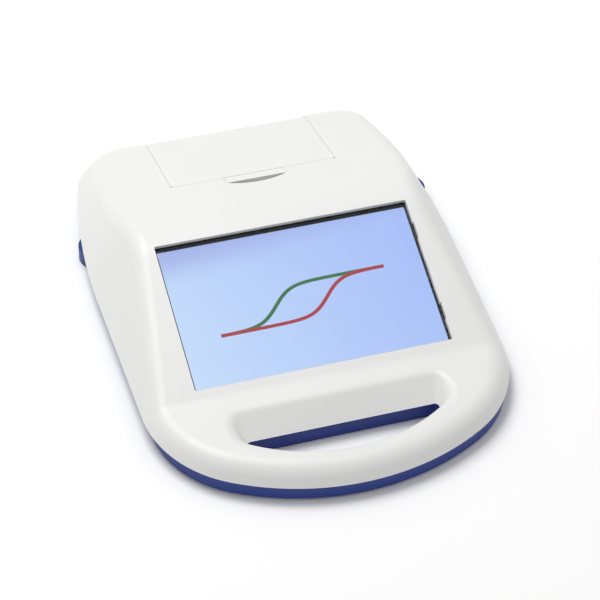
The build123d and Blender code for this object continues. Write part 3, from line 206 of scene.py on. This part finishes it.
tinPlate = metal("tinPlate", (0.66, 0.66, 0.64), (0.58, 0.58, 0.57), 0.34, 0.1, (1, 12, 12))
nickel = metal("nickel", (0.66, 0.64, 0.6), (0.6, 0.58, 0.55), 0.16, 0.05)
aluminium = metal("aluminium", (0.74, 0.75, 0.77), (0.66, 0.67, 0.69), 0.36, 0.08, (1, 14, 14))
blueFilter = glass("blueFilter", (0.1, 0.2, 0.75), 0.03)
amberFilter = glass("amberFilter", (0.85, 0.45, 0.06), 0.03)
panelGlass = glass("displayGlass", (0.93, 0.96, 0.98), 0.02, 0.2)

# Lit display: distances from its centre are taken across and along the sloped face
display = {
    "centre": (0.0, -0.0255, 0.0389),
    "tilt": math.radians(17.8),
    "across": (-0.0775, 0.0776),
    "along": (-0.0468, 0.0461),
    "bright": (0.60, 0.76, 1.0),
    "dim": (0.385, 0.51, 0.97),
    "slope": (4.6, 2.6),
    "cloudScale": 9.0,
    "cloud": 0.35,
    "corner": (0.36, 0.42, 0.80),
    "cornerLean": -0.12,
    "cornerFade": (0.028, 0.055),
    "cornerDepth": 0.85,
    "strength": 1.03,
    "curves": [(-0.017, (0.035, 0.17, 0.05)), (0.015, (0.42, 0.035, 0.04))],
    "rise": 0.0125,
    "width": 0.0115,
    "line": 0.0011,
    "base": -0.003,
    "reach": 0.054,
}


# Black panel whose picture brightens towards its lower left and darkens towards its top, with two
# rising curves, each a tanh of the distance across the panel
def litPanel():
    material, tree, shader = newMaterial("displayPanel")
    coordinates = tree.nodes.new("ShaderNodeTexCoord")
    split = tree.nodes.new("ShaderNodeSeparateXYZ")
    tree.links.new(coordinates.outputs["Object"], split.inputs[0])
    across = split.outputs["X"]
    back = calc(tree, "SUBTRACT", split.outputs["Y"], display["centre"][1])
    up = calc(tree, "SUBTRACT", split.outputs["Z"], display["centre"][2])
    back = calc(tree, "MULTIPLY", back, math.cos(display["tilt"]))
    up = calc(tree, "MULTIPLY", up, math.sin(display["tilt"]))
    along = calc(tree, "ADD", back, up)
    inside = calc(tree, "GREATER_THAN", across, display["across"][0])
    inside = calc(tree, "MULTIPLY", inside, calc(tree, "LESS_THAN", across, display["across"][1]))
    inside = calc(tree, "MULTIPLY", inside, calc(tree, "GREATER_THAN", along, display["along"][0]))
    inside = calc(tree, "MULTIPLY", inside, calc(tree, "LESS_THAN", along, display["along"][1]))
    lean = calc(tree, "MULTIPLY", across, display["slope"][0])
    lean = calc(tree, "ADD", lean, calc(tree, "MULTIPLY", along, display["slope"][1]))
    cloud = calc(tree, "SUBTRACT", objectNoise(tree, display["cloudScale"], 1.0), 0.5)
    cloud = calc(tree, "MULTIPLY", cloud, display["cloud"])
    glow = calc(tree, "SUBTRACT", 0.5, calc(tree, "ADD", lean, cloud), clamp=True)
    picture = mixColours(tree, glow, display["dim"], display["bright"])
    height = calc(tree, "ADD", along, calc(tree, "MULTIPLY", across, display["cornerLean"]))
    fade = mapRange(tree, height, 0.0, display["cornerDepth"], *display["cornerFade"], smooth=True)
    picture = mixColours(tree, fade, picture, display["corner"])
    near = calc(tree, "LESS_THAN", calc(tree, "ABSOLUTE", across), display["reach"])
    for middle, colour in display["curves"]:
        spread = calc(tree, "DIVIDE", calc(tree, "SUBTRACT", across, middle), display["width"])
        bend = calc(tree, "TANH", spread)
        height = calc(tree, "ADD", calc(tree, "MULTIPLY", bend, display["rise"]), display["base"])
        steep = calc(tree, "SUBTRACT", 1.0, calc(tree, "MULTIPLY", bend, bend))
        steep = calc(tree, "MULTIPLY", steep, display["rise"] / display["width"])
        longer = calc(tree, "SQRT", calc(tree, "ADD", 1.0, calc(tree, "MULTIPLY", steep, steep)))
        away = calc(tree, "ABSOLUTE", calc(tree, "SUBTRACT", along, height))
        away = calc(tree, "DIVIDE", away, longer)
        onLine = calc(tree, "MULTIPLY", near, calc(tree, "LESS_THAN", away, display["line"]))
        picture = mixColours(tree, onLine, picture, colour)
    tree.links.new(picture, shader.inputs["Emission Color"])
    lit = calc(tree, "MULTIPLY", inside, display["strength"])
    tree.links.new(lit, shader.inputs["Emission Strength"])
    grey = objectNoise(tree, 400.0, 2.0)
    tone = mixColours(tree, grey, (0.004, 0.004, 0.005), (0.007, 0.007, 0.008))
    tree.links.new(tone, shader.inputs["Base Color"])
    tree.links.new(mapRange(tree, grey, 0.5, 0.65), shader.inputs["Roughness"])
    shader.inputs["Specular IOR Level"].default_value = 0.1
    return material


finishes = {
    "top_housing": whitePlastic,
    "lid": whitePlastic,
    "base_shell": bluePlastic,
    "battery_door": bluePlastic,
    "foot_pads": rubber,
    "battery_pack": wrap,
    "main_board": solderMask,
    "rear_board": solderMask,
    "light_board": solderMask,
    "sensor_board": solderMask,
    "shield_can": tinPlate,
    "display_bracket": tinPlate,
    "keeper_plates": tinPlate,
    "usb_socket": tinPlate,
    "board_headers": connectorPlastic,
    "display_gasket": foam,
    "lid_liner": foam,
    "display_glass": panelGlass,
    "display_module": litPanel(),
    "well_tray": trayPlastic,
    "block_jacket": trayPlastic,
    "lid_magnets": nickel,
    "heater_block": aluminium,
    "press_bar": aluminium,
    "heater_film": amberFilm,
    "light_filter": blueFilter,
    "sensor_filter": amberFilter,
    "rear_panel": blackPlastic,
    "power_inlet": blackPlastic,
    "rocker_frame": blackPlastic,
    "power_rocker": blackPlastic,
}
for name, node in nodes.items():
    finish = finishes.get(name, steel)
    if not node.data.materials:
        node.data.materials.append(finish)
    for index in range(len(node.data.materials)):
        node.data.materials[index] = finish
print("finishes", len(nodes))


def newPiece(name, points, faces, material, smooth=False):
    mesh = bpy.data.meshes.new(name)
    mesh.from_pydata(points.tolist(), [], faces)
    mesh.materials.append(material)
    if smooth:
        mesh.shade_smooth()
    piece = bpy.data.objects.new(name, mesh)
    bpy.context.collection.objects.link(piece)
    return piece


# Quads between rows of points that close round on themselves, with both ends capped
def tubeFaces(rows, ringSize):
    start = np.arange(rows - 1)[:, None] * ringSize
    ring = np.arange(ringSize)[None, :]
    following = (ring + 1) % ringSize
    low, lowNext = start + ring, start + following
    quads = np.stack([low, lowNext, lowNext + ringSize, low + ringSize], axis=2).reshape(-1, 4).tolist()
    ends = [list(range(ringSize))[::-1], list(range((rows - 1) * ringSize, rows * ringSize))]
    return quads + ends


# Cover glass of the display. A rim point is its corner's centre plus the corner radius times the
# cosine and sine of its angle. Four such outlines, the outer two drawn in by the polished bevel,
# lie one above another on the sloped face.
coverValues = {
    "size": (0.165, 0.104),
    "corner": 0.002,
    "bevel": 0.0002,
    "top": -0.00372,
    "bottom": -0.00476,
    "steps": 8,
}


def coverGlass():
    quarter = np.linspace(0, math.pi / 2, coverValues["steps"])
    turns = np.concatenate([quarter + k * math.pi / 2 for k in range(4)])
    bevel = coverValues["bevel"]
    levels = (
        (coverValues["bottom"], bevel),
        (coverValues["bottom"] + bevel, 0.0),
        (coverValues["top"] - bevel, 0.0),
        (coverValues["top"], bevel),
    )
    halfAcross = coverValues["size"][0] / 2 - coverValues["corner"]
    halfAlong = coverValues["size"][1] / 2 - coverValues["corner"]
    centreAcross = np.repeat([halfAcross, -halfAcross, -halfAcross, halfAcross], coverValues["steps"])
    centreAlong = np.repeat([halfAlong, halfAlong, -halfAlong, -halfAlong], coverValues["steps"])
    alongAxis = np.array([0.0, math.cos(display["tilt"]), math.sin(display["tilt"])])
    outAxis = np.array([0.0, -math.sin(display["tilt"]), math.cos(display["tilt"])])
    rings = []
    for level, inset in levels:
        radius = coverValues["corner"] - inset
        across = (centreAcross + radius * np.cos(turns))[:, None] * np.array([1.0, 0.0, 0.0])
        along = (centreAlong + radius * np.sin(turns))[:, None] * alongAxis
        rings.append(np.array(display["centre"]) + across + along + level * outAxis)
    faces = tubeFaces(len(levels), len(turns))
    return newPiece("coverGlass", np.concatenate(rings), faces, panelGlass)


cover = coverGlass()
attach(cover, "instrument")
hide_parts("display_glass")
print("cover glass", len(cover.data.vertices))

# Press springs. The wire's centre runs on a helix whose pitch closes up at both ends; a wire
# point is that centre plus the wire radius times the cosine and sine of its angle, along the
# helix's own outward direction and the direction square to both that and the wire.
springValues = {
    "across": (-0.018, 0.018),
    "row": 0.090,
    "foot": 0.0336,
    "top": 0.0378,
    "radius": 0.00192,
    "wire": 0.00024,
    "turns": 4.5,
    "closing": 0.108,
    "steps": 216,
    "sides": 10,
    "keep": 0.62,
}


def wireSpring(name, centreX):
    way = np.linspace(0.0, 1.0, springValues["steps"])
    angle = way * springValues["turns"] * 2 * math.pi
    closed = way - springValues["closing"] * np.sin(2 * math.pi * way)
    low, high = springValues["foot"] + springValues["wire"], springValues["top"] - springValues["wire"]
    outward = np.stack([np.cos(angle), np.sin(angle), np.zeros_like(angle)], axis=1)
    axisPoint = np.array([centreX, springValues["row"], low])
    rise = ((high - low) * closed)[:, None] * np.array([0.0, 0.0, 1.0])
    centre = axisPoint + springValues["radius"] * outward + rise
    run = np.gradient(centre, axis=0)
    run /= np.linalg.norm(run, axis=1)[:, None]
    square = np.cross(run, outward)
    turns = np.arange(springValues["sides"]) * 2 * math.pi / springValues["sides"]
    ring = np.cos(turns)[None, :, None] * outward[:, None, :]
    ring = ring + np.sin(turns)[None, :, None] * square[:, None, :]
    points = (centre[:, None, :] + springValues["wire"] * ring).reshape(-1, 3)
    faces = tubeFaces(springValues["steps"], springValues["sides"])
    spring = newPiece(name, points, faces, steel, smooth=True)
    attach(spring, "lid")
    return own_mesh(spring)


leftSpring = wireSpring("leftSpring", springValues["across"][0])
rightSpring = wireSpring("rightSpring", springValues["across"][1])
for spring in (leftSpring, rightSpring):
    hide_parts("press_springs")
print("springs", len(leftSpring.data.vertices))

# Floor, light and camera
floorMaterial, floorTree, floorShader = newMaterial("floor")
floorDrift = objectNoise(floorTree, 3.0, 2.0)
floorTone = mixColours(floorTree, floorDrift, (0.96, 0.96, 0.96), (0.98, 0.98, 0.98))
floorTree.links.new(floorTone, floorShader.inputs["Base Color"])
floorShader.inputs["Roughness"].default_value = 0.9
floorShader.inputs["Specular IOR Level"].default_value = 0.1
floorHalf = 3.0
corners = floorHalf * np.array([[-1.0, -1.0, 0.0], [1.0, -1.0, 0.0], [1.0, 1.0, 0.0], [-1.0, 1.0, 0.0]])
newPiece("floor", corners, [(0, 1, 2, 3)], floorMaterial)

lightValues = {
    "world": 0.54,
    "place": (-0.255, 0.495, 1.395),
    "size": 0.8,
    "power": 14.4,
}
world = bpy.data.worlds.new("studio")
world.use_nodes = True
background = world.node_tree.nodes["Background"]
background.inputs["Color"].default_value = (1.0, 1.0, 1.0, 1.0)
background.inputs["Strength"].default_value = lightValues["world"]
bpy.context.scene.world = world
softbox = bpy.data.lights.new("softbox", "AREA")
softbox.size = lightValues["size"]
softbox.energy = lightValues["power"]
key = bpy.data.objects.new("softbox", softbox)
key.location = lightValues["place"]
key.rotation_euler = (-Vector(lightValues["place"])).to_track_quat("-Z", "Y").to_euler()
bpy.context.collection.objects.link(key)

cameraValues = {
    "place": (-0.32833, -1.00888, 1.05507),
    "right": (0.95623, -0.29156, 0.02507),
    "down": (-0.18778, -0.67703, -0.71159),
    "lens": 146.94,
}
cameraData = bpy.data.cameras.new("camera")
cameraData.lens = cameraValues["lens"]
cameraData.sensor_width = 36.0
cameraData.clip_start = 0.05
camera = bpy.data.objects.new("camera", cameraData)
rightAxis = Vector(cameraValues["right"]).normalized()
upAxis = -Vector(cameraValues["down"]).normalized()
turn = Matrix((rightAxis, upAxis, rightAxis.cross(upAxis))).transposed().to_4x4()
camera.matrix_world = Matrix.Translation(cameraValues["place"]) @ turn
bpy.context.collection.objects.link(camera)
bpy.context.scene.camera = camera
bpy.context.scene.view_settings.view_transform = "Standard"
print("stage ready")
